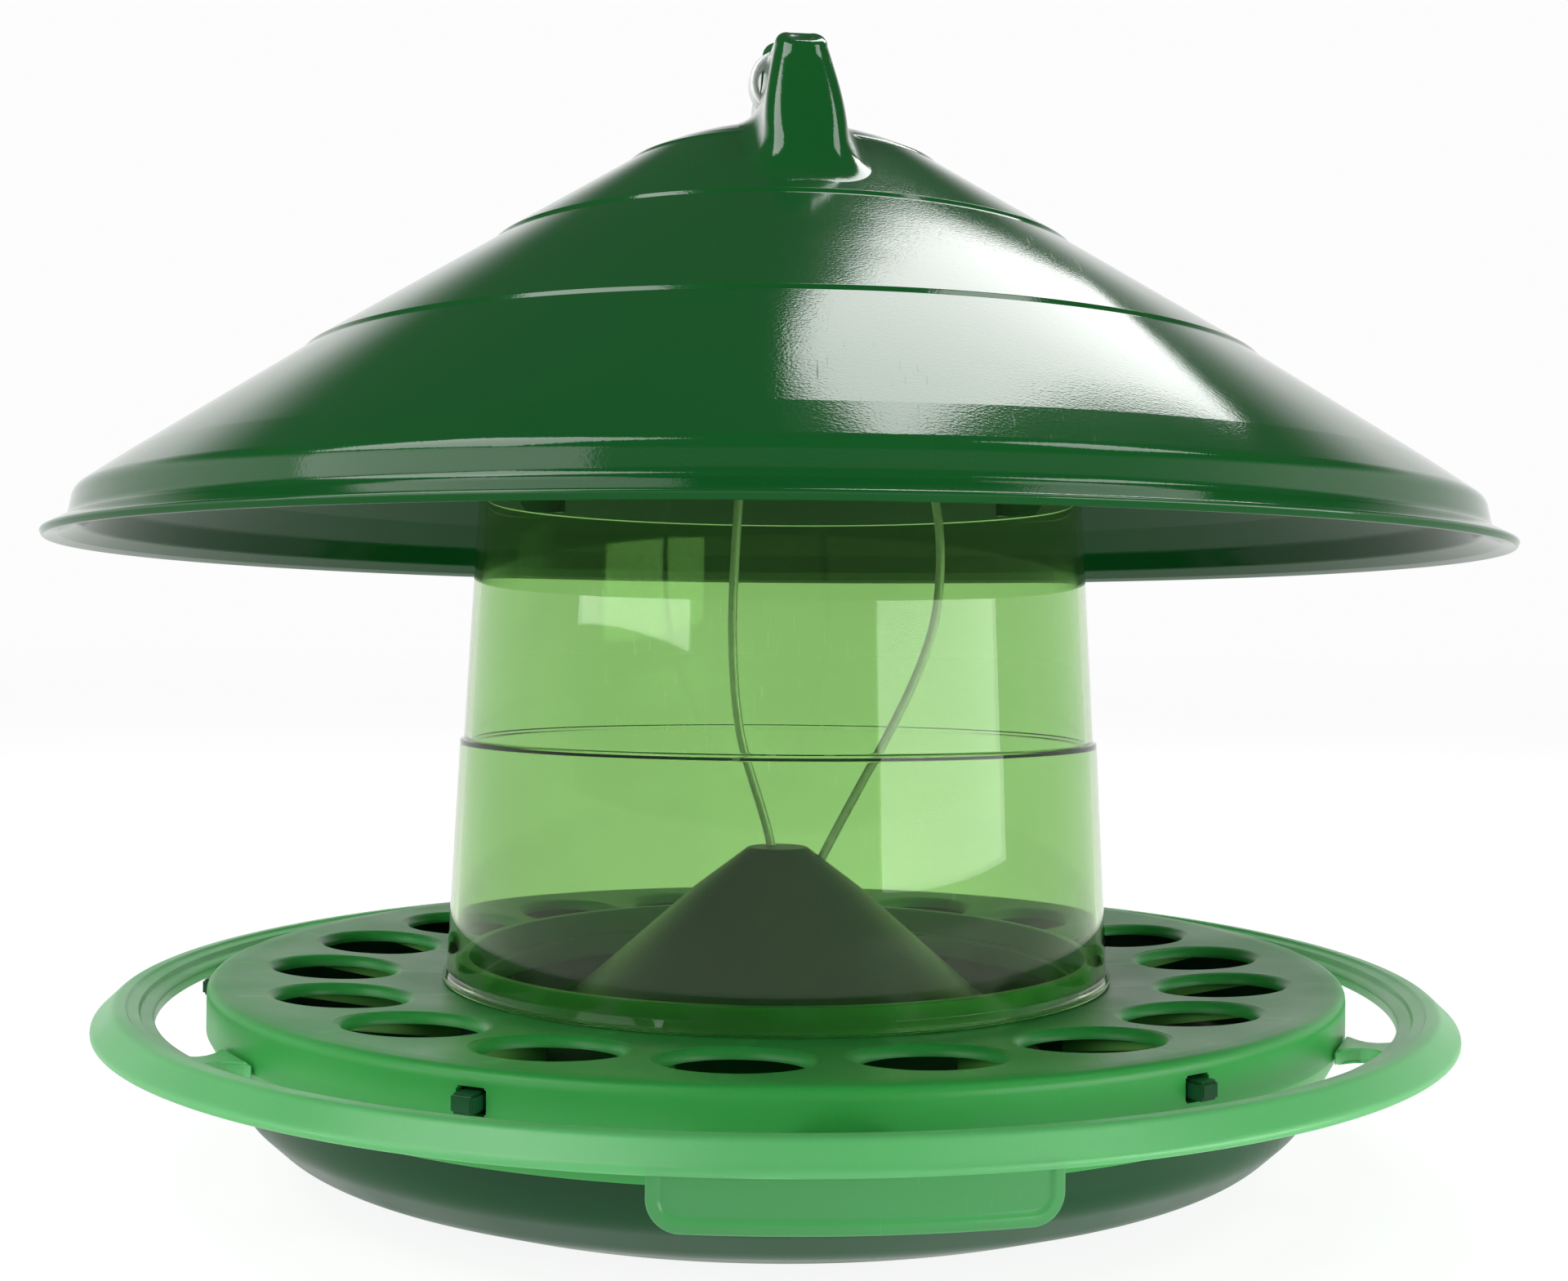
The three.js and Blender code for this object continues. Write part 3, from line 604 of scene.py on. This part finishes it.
HOPPER_WALL = 2.2
STEP_Z = 67.0
STEP_RADIUS = 95.9
LEDGE = 1.1
TOP_RADIUS = 91.0
hopper = lathe("hopper_drum", rounded([
    (HOPPER_RADIUS, HOPPER_BASE, 0.3),
    (HOPPER_RADIUS, HOPPER_BASE + 1.4, 0.4),
    (HOPPER_RADIUS - 1.0, HOPPER_BASE + 3.2, 0.6),
    (STEP_RADIUS, STEP_Z - 0.3, 0.5),
    (STEP_RADIUS - LEDGE, STEP_Z, 0.3),
    (TOP_RADIUS, HOPPER_TOP, 0.7),
    (TOP_RADIUS - HOPPER_WALL, HOPPER_TOP, 0.7),
    (STEP_RADIUS - LEDGE - HOPPER_WALL, STEP_Z - 1, 0.4),
    (STEP_RADIUS - HOPPER_WALL, STEP_Z - 1.8, 0.4),
    (HOPPER_RADIUS - 1.0 - HOPPER_WALL, HOPPER_BASE, 0.3),
]), sharp=50)
finish_piece(hopper, hopper_clear, "clear_green_plastic", "hopper", "hopper")

# ------------------------------------------------------------------ feed ring

RING_WALL = 2.5
MOUTH_RADIUS = 89.0
FLAT_RADIUS = 160.0
DISH = 0.065


def dished(radius):
    """Height of the ring's top, which falls towards the hopper."""
    return -(FLAT_RADIUS - radius) * DISH


feed_ring = lathe("feed_ring_cover", rounded([
    (MOUTH_RADIUS, dished(MOUTH_RADIUS), 1.0),
    (FLAT_RADIUS, 0, 8.0),
    (RING_RADIUS, 0, 3.4),
    (RING_RADIUS, -13, 1.0),
    (160.4, -23.5, 0.8),
    (157.8, -23.5, 0.8),
    (RING_RADIUS - RING_WALL, -13, 1.0),
    (RING_RADIUS - RING_WALL, -RING_WALL - 0.6, 1.5),
    (MOUTH_RADIUS + 2.2, dished(MOUTH_RADIUS) - RING_WALL, 1.0),
    (MOUTH_RADIUS + 2.0, -11.1, 0.5),
    (MOUTH_RADIUS, -11.1, 0.5),
]), segments=360, sharp=50)

HOLE_RADIUS = 17.4
HOLE_LIP = 2.6


def hole_cutters():
    """One cutter for each feed hole, flared at the top so that the cut leaves a rounded lip."""
    cutters = []
    profile = [(HOLE_RADIUS, -12.0)]
    for i in range(7):
        angle = math.radians(90 * i / 6)
        flare = HOLE_LIP * (1 - math.cos(angle))
        rise = HOLE_LIP * math.sin(angle)
        profile.append((HOLE_RADIUS + flare, -HOLE_LIP + rise))
    profile.append((HOLE_RADIUS + HOLE_LIP, 6.0))
    for k in range(HOLE_COUNT):
        bm = bmesh.new()
        segments = 64
        rings = []
        for r, z in profile:
            ring = []
            for i in range(segments):
                angle = math.tau * i / segments
                ring.append(bm.verts.new((r * math.cos(angle), r * math.sin(angle), z)))
            rings.append(ring)
        for lower, upper in zip(rings, rings[1:]):
            for i in range(segments):
                j = (i + 1) % segments
                bm.faces.new((lower[i], lower[j], upper[j], upper[i]))
        bm.faces.new(rings[0][::-1])
        bm.faces.new(rings[-1])
        tilt = Matrix.Rotation(-math.atan(DISH), 4, "Y")
        centre = Matrix.Translation((HOLE_PITCH_RADIUS, 0, dished(HOLE_PITCH_RADIUS) + TRAY_Z))
        placed = turn(HOLE_PHASE + 360 * k / HOLE_COUNT) @ centre @ tilt
        bmesh.ops.transform(bm, matrix=Matrix.Scale(MM, 4) @ placed, verts=bm.verts)
        cutters.append(mesh_object("hole", bm))
    return cutters


WINDOW_SIZE = (12, 8, 6.4)
SNAP_Z = -7
windows = [
    box_at("window", (RING_RADIUS, 0, SNAP_Z), WINDOW_SIZE, SNAP_PHASE + 360 * k / SNAP_COUNT, bevel=0.5)
    for k in range(SNAP_COUNT)
]
carve(feed_ring, join(hole_cutters() + windows, "cutters"), sharp=50)

fin_outline = [(106, -5.4), (150, -2.2), (150, -4.2), (106, -12.4)]
FIN_THICKNESS = 1.6
fins = [
    prism("fin", fin_outline, FIN_THICKNESS, upright(HOLE_PHASE + 360 * (k + 0.5) / HOLE_COUNT), bevel=0.3)
    for k in range(HOLE_COUNT)
]
fin_set = join(fins, "feed_ring_fins")
SPIGOT_OUTER = 95.6
SPIGOT_INNER = 92.6
SPIGOT_FOOT = -5.5
spigot = lathe("feed_ring_spigot", rounded([
    (SPIGOT_OUTER, SPIGOT_FOOT, 0),
    (SPIGOT_OUTER, SPIGOT_RISE, 0.5),
    (SPIGOT_INNER, SPIGOT_RISE, 0.5),
    (SPIGOT_INNER, SPIGOT_FOOT, 0),
]), sharp=50)
finish_piece(feed_ring, ring_green, "ring_green_plastic", "base", "feed_ring")
finish_piece(fin_set, fin_painted_light_green, "ring_green_plastic", "base")
finish_piece(spigot, ring_green, "ring_green_plastic", "base")

# ------------------------------------------------------------------ perch ring

PERCH_INNER = 179.5
PERCH_BOTTOM = -11.0
PERCH_WALL = 2.2
perch = lathe("perch_channel", rounded([
    (PERCH_INNER, PERCH_BOTTOM, 0.4),
    (PERCH_INNER, PERCH_TOP - 3.4, 1.4),
    (PERCH_INNER + 3.6, PERCH_TOP - 2.7, 0.5),
    (PERCH_INNER + 4.2, PERCH_TOP - 1.3, 0.5),
    (PERCH_INNER + 7.0, PERCH_TOP - 0.8, 0.5),
    (PERCH_INNER + 7.6, PERCH_TOP, 0.5),
    (PERCH_RADIUS - 5.6, PERCH_TOP - 0.1, 3.0),
    (PERCH_RADIUS, PERCH_TOP - 5.4, 2.6),
    (PERCH_RADIUS, PERCH_BOTTOM, 0.7),
    (PERCH_RADIUS - PERCH_WALL, PERCH_BOTTOM, 0.7),
    (PERCH_RADIUS - PERCH_WALL, PERCH_TOP - 6, 2.0),
    (PERCH_INNER + 8.0, PERCH_TOP - 2.4, 1.0),
    (PERCH_INNER + PERCH_WALL, PERCH_TOP - 5, 1.0),
    (PERCH_INNER + PERCH_WALL, PERCH_BOTTOM, 0.4),
]), segments=360, sharp=60)

SPOKE_HALF = 4.0
SPOKE_FLARE = 8.0
FLARE_CURVE = 3.2
SPOKE_THICKNESS = 4.0
SPOKE_Z = -12


def spoke_outline():
    """A spoke seen from above, widening towards the skirt and towards the perch."""
    inner = RING_RADIUS + 0.35
    outer = PERCH_INNER + 1.6
    middle = (inner + outer) / 2
    side = []
    for i in range(13):
        t = -1 + i / 6
        side.append((middle + (outer - middle) * t, SPOKE_HALF + SPOKE_FLARE * abs(t) ** FLARE_CURVE))
    return [(x, -y) for x, y in side] + [(x, y) for x, y in reversed(side)]


spoke_height = Matrix.Translation((0, 0, SPOKE_Z))
spokes = [
    prism("spoke", spoke_outline(), SPOKE_THICKNESS, turn(PERCH_FRONT + a) @ spoke_height, bevel=0.5)
    for a in SPOKE_TURNS
]
spoke_set = join(spokes, "perch_spokes")

TAB_HALF_WIDTH = 43.0
TAB_BOTTOM = -22.6
TAB_CORNER = 7.0
TAB_RADIUS = PERCH_RADIUS - 0.8
TAB_WALL = 2.2
TAB_BORDER = 3.2
TAB_RELIEF = 0.7


def tab_border(across, height):
    """Relief of the tab: 1 on its raised border and 0 on the panel inside."""
    from_side = TAB_HALF_WIDTH - abs(across)
    from_bottom = height - TAB_BOTTOM
    if from_side < TAB_CORNER and from_bottom < TAB_CORNER:
        inside = TAB_CORNER - math.hypot(TAB_CORNER - from_side, TAB_CORNER - from_bottom)
    else:
        inside = min(from_side, from_bottom)
    if inside < TAB_BORDER / 2:
        return math.sqrt(max(1 - (1 - inside * 2 / TAB_BORDER) ** 4, 0))
    slope = min(max((TAB_BORDER - inside) / 0.9, 0), 1)
    return slope * slope * (3 - 2 * slope)


def make_tab():
    """The curved tab below the front of the perch, with a raised border."""
    bm = bmesh.new()
    top = PERCH_BOTTOM + 1.5
    columns = 168
    rows = 22
    front = []
    back = []
    for i in range(columns + 1):
        across = TAB_HALF_WIDTH * math.sin(math.radians(-90 + 180 * i / columns))
        from_side = TAB_HALF_WIDTH - abs(across)
        lift = 0.0
        if from_side < TAB_CORNER:
            lift = TAB_CORNER - math.sqrt(max(TAB_CORNER ** 2 - (TAB_CORNER - from_side) ** 2, 0))
        angle = math.radians(PERCH_FRONT) + across / TAB_RADIUS
        front.append([])
        back.append([])
        for j in range(rows + 1):
            height = TAB_BOTTOM + lift + (top - TAB_BOTTOM - lift) * (j / rows) ** 1.4
            raised = TAB_RELIEF * tab_border(across, height)
            for side, radius in ((front, TAB_RADIUS - TAB_RELIEF + raised), (back, TAB_RADIUS - TAB_WALL)):
                side[-1].append(bm.verts.new((
                    radius * math.cos(angle) * MM, radius * math.sin(angle) * MM, (height + TRAY_Z) * MM)))
    for i in range(columns):
        for side in (front, back):
            for j in range(rows):
                bm.faces.new((side[i][j], side[i + 1][j], side[i + 1][j + 1], side[i][j + 1]))
        for j in (0, rows):
            bm.faces.new((front[i][j], front[i + 1][j], back[i + 1][j], back[i][j]))
    for i in (0, columns):
        for j in range(rows):
            bm.faces.new((front[i][j], front[i][j + 1], back[i][j + 1], back[i][j]))
    return mesh_object("perch_tab", bm, 50)


tab = make_tab()
finish_piece(perch, perch_green, "perch_green_plastic", "base", "perch_ring")
finish_piece(spoke_set, perch_green, "perch_green_plastic", "base")
finish_piece(tab, tab_green, "perch_green_plastic", "base")

# ------------------------------------------------------------------ base pan

PAN_WALL = 2.5
PAN_TOP = -4.5
pan = lathe("base_pan_dish", rounded([
    (0, 33.5, 0),
    (9, 33.5, 1.5),
    (25, 21.5, 8.0),
    (67, -15.0, 20.0),
    (98, -44.6, 8.0),
    (108, -49.6, 10.0),
    (128, -46.0, 20.0),
    (148, -37.0, 14.0),
    (PAN_RADIUS - PAN_WALL, -30.0, 6.0),
    (PAN_RADIUS - PAN_WALL, PAN_TOP, 0.4),
    (PAN_RADIUS + 4.2, PAN_TOP, 0.4),
    (PAN_RADIUS + 4.2, PAN_TOP - 2.2, 0.4),
    (PAN_RADIUS, PAN_TOP - 2.2, 0.4),
    (PAN_RADIUS, -33.5, 9.0),
    (147, -43.2, 14.0),
    (129, -50.2, 14.0),
    (110, GROUND + 0.4, 6.0),
    (107, GROUND, 1.0),
    (99, GROUND, 1.0),
    (95.6, -46.6, 3.0),
    (65.2, -17.0, 20.0),
    (23.8, 18.6, 8.0),
    (8.2, 31.0, 1.0),
    (0, 31.0, 0),
], 7), segments=360, sharp=50)
HOOK_RADIUS = 163.2
HOOK_SIZE = (13.6, 6, 4.6)
hooks = [
    box_at("hook", (HOOK_RADIUS, 0, SNAP_Z), HOOK_SIZE, SNAP_PHASE + 360 * k / SNAP_COUNT, bevel=0.7)
    for k in range(SNAP_COUNT)
]
hook_set = join(hooks, "base_pan_hooks")
finish_piece(pan, pan_green, "dark_green_plastic", "base", "base_pan")
finish_piece(hook_set, pan_green, "dark_green_plastic", "base")

# ------------------------------------------------------------------ hanger wire

WIRE_RADIUS = 1.4
EYE_RADIUS = 9.6
EYE_Z = EYE_TOP - WIRE_RADIUS - EYE_RADIUS
left_leg = [
    (-8, 3, 21.5), (-4, 4, 22.5), (-1.6, 4.6, 27), (-1.9, 4.6, 34), (-5.8, 4.6, 47.4), (-9.4, 4, 58),
    (-12.4, 3, 70), (-14.2, 2, 88), (-14.6, 1, 108), (-12.6, 0, 145), (-8.2, 0, 190), (-4, 0, 222),
]
right_leg = [
    (4.6, 1, 228), (22, 2, 200), (40, 3, 168), (49.6, 4, 136), (49.4, 4, 108), (44.4, 4, 90), (34.6, 4, 69),
    (23.6, 3.6, 49), (14.4, 3, 31.6), (11.6, 3, 25.6), (11.6, 5, 21), (13.6, 9, 17.4),
]


def turned(x, y, z):
    """A point of the eye, turned to lie in the slot across the handle."""
    angle = math.radians(HANDLE_TURN)
    return (x * math.cos(angle) - y * math.sin(angle), x * math.sin(angle) + y * math.cos(angle), z)


EYE_TURNS = 1 + 316 / 360
EYE_PITCH = 3.15
EYE_POINTS = 48
EYE_START = -112
NECK_HALF_WIDTH = 2.1
NECK_Z = 246
eye_half_depth = EYE_TURNS * EYE_PITCH / 2
eye = []
for i in range(EYE_POINTS + 1):
    angle = math.radians(EYE_START - i * EYE_TURNS * 360 / EYE_POINTS)
    y = -eye_half_depth + i * EYE_TURNS * EYE_PITCH / EYE_POINTS
    eye.append(turned(EYE_RADIUS * math.cos(angle), y, EYE_Z + EYE_RADIUS * math.sin(angle)))
left_neck = turned(-NECK_HALF_WIDTH, -eye_half_depth, NECK_Z)
right_neck = turned(NECK_HALF_WIDTH, eye_half_depth, NECK_Z)
path = left_leg + [left_neck] + eye + [right_neck] + right_leg
curve = bpy.data.curves.new("wire", "CURVE")
curve.dimensions = "3D"
curve.bevel_depth = WIRE_RADIUS * MM
curve.bevel_resolution = 6
curve.use_fill_caps = True
spline = curve.splines.new("NURBS")
spline.points.add(len(path) - 1)
for point, (x, y, z) in zip(spline.points, path):
    point.co = (x * MM, y * MM, (z + TRAY_Z) * MM, 1)
spline.use_endpoint_u = True
spline.order_u = 3
spline.resolution_u = 8
wire_curve = bpy.data.objects.new("wire", curve)
bpy.context.collection.objects.link(wire_curve)
evaluated_wire = wire_curve.evaluated_get(bpy.context.evaluated_depsgraph_get())
wire_mesh = bpy.data.meshes.new_from_object(evaluated_wire)
bpy.data.objects.remove(wire_curve)
wire = bpy.data.objects.new("hanger", wire_mesh)
bpy.context.collection.objects.link(wire)
wire_mesh.polygons.foreach_set("use_smooth", [True] * len(wire_mesh.polygons))
finish_piece(wire, galvanised, "galvanised_steel", "base", "hanger_wire")

# ------------------------------------------------------------------ floor, light and camera

floor_mesh = bpy.data.meshes.new("floor")
FLOOR_HALF = 60.0
FLOOR_DARK = (0.18, 0.18, 0.18)
FLOOR_PALE = (0.20, 0.20, 0.20)
FLOOR_GLOW = 0.88
floor_corners = [(x * FLOOR_HALF, y * FLOOR_HALF, 0) for x, y in ((-1, -1), (1, -1), (1, 1), (-1, 1))]
floor_mesh.from_pydata(floor_corners, [], [(0, 1, 2, 3)])
floor = bpy.data.objects.new("floor", floor_mesh)
bpy.context.collection.objects.link(floor)
floor_paint = Material("floor_paint")
floor_tone = floor_paint.ramp(floor_paint.noise(1.5, 2.0), 0.3, 0.7)
floor_colour = floor_paint.mix(floor_tone, FLOOR_DARK, FLOOR_PALE)
floor_paint.link(floor_colour, floor_paint.shader.inputs["Base Color"])
floor_paint.shader.inputs["Roughness"].default_value = 0.9
floor_paint.shader.inputs["Emission Color"].default_value = (1, 1, 1, 1)
floor_paint.shader.inputs["Emission Strength"].default_value = FLOOR_GLOW
floor_mesh.materials.append(floor_paint.material)

HORIZON = (0.98, 0.98, 0.98)
ZENITH = (0.06, 0.08, 0.065)
FRONT = (0.42, 0.45, 0.43)


def make_world():
    """A white horizon, greyer in front, and a dim ceiling so that only the softboxes show in the gloss."""
    world = bpy.data.worlds.new("studio")
    world.use_nodes = True
    tree = world.node_tree
    direction = tree.nodes.new("ShaderNodeTexCoord").outputs["Generated"]
    split = tree.nodes.new("ShaderNodeSeparateXYZ")
    height = tree.nodes.new("ShaderNodeMapRange")
    height.interpolation_type = "SMOOTHSTEP"
    height.inputs["From Min"].default_value = 0.37
    height.inputs["From Max"].default_value = 0.58
    colour = tree.nodes.new("ShaderNodeMix")
    colour.data_type = "RGBA"
    ahead = tree.nodes.new("ShaderNodeMapRange")
    ahead.inputs["From Min"].default_value = -0.5
    ahead.inputs["From Max"].default_value = -0.1
    horizon = tree.nodes.new("ShaderNodeMix")
    horizon.data_type = "RGBA"
    horizon.inputs[6].default_value = (*FRONT, 1)
    horizon.inputs[7].default_value = (*HORIZON, 1)
    tree.links.new(split.outputs["Y"], ahead.inputs["Value"])
    tree.links.new(ahead.outputs["Result"], horizon.inputs["Factor"])
    tree.links.new(horizon.outputs[2], colour.inputs[6])
    colour.inputs[7].default_value = (*ZENITH, 1)
    tree.links.new(direction, split.inputs[0])
    tree.links.new(split.outputs["Z"], height.inputs["Value"])
    tree.links.new(height.outputs["Result"], colour.inputs["Factor"])
    tree.links.new(colour.outputs[2], tree.nodes["Background"].inputs["Color"])
    bpy.context.scene.world = world


make_world()


def softbox(name, place, target, size, power, roll=0):
    """A rectangular light at a place, facing a target. Lengths are in metres."""
    light = bpy.data.lights.new(name, "AREA")
    light.shape = "RECTANGLE"
    light.size = size[0]
    light.size_y = size[1]
    light.energy = power
    obj = bpy.data.objects.new(name, light)
    bpy.context.collection.objects.link(obj)
    obj.location = place
    facing = (Vector(target) - Vector(place)).to_track_quat("-Z", "Y")
    obj.rotation_euler = (facing.to_matrix() @ Matrix.Rotation(math.radians(roll), 3, "Z")).to_euler()


softbox("window_above", (0.616, 1.416, 2.20), (0.016, -0.364, 0.43), (0.5, 1.45), 10.5, roll=-24)
softbox("ceiling_left", (-0.9, -0.5, 1.5), (0, 0, 0.1), (1.0, 1.0), 14)
softbox("window_left", (-0.946, -0.739, 0.315), (0, 0, 0.15), (0.95, 0.09), 2.0)
softbox("window_left_high", (-0.82, -0.72, 0.62), (0, 0, 0.2), (0.9, 0.35), 1.8)
softbox("window_right", (1.006, -0.654, 0.193), (0, 0, 0.12), (1.05, 0.31), 6.6)
softbox("window_right_high", (0.752, -0.274, 1.324), (0, 0, 0.3), (0.45, 0.5), 2.8)

CAMERA_DISTANCE = 0.5516
CAMERA_RISE = 93.1
LENS = 41.38
PITCH_UP = 0.36
YAW_RIGHT = 0.15
ROLL = 0.48
camera_data = bpy.data.cameras.new("camera")
camera_data.sensor_width = 36
camera_data.lens = LENS
camera_data.clip_start = 0.01
camera = bpy.data.objects.new("camera", camera_data)
bpy.context.collection.objects.link(camera)
camera.location = (0, -CAMERA_DISTANCE, (TRAY_Z + CAMERA_RISE) * MM)
camera.rotation_euler = (math.radians(90 + PITCH_UP), math.radians(-ROLL), math.radians(-YAW_RIGHT))
bpy.context.scene.camera = camera
bpy.context.scene.view_settings.view_transform = "Standard"
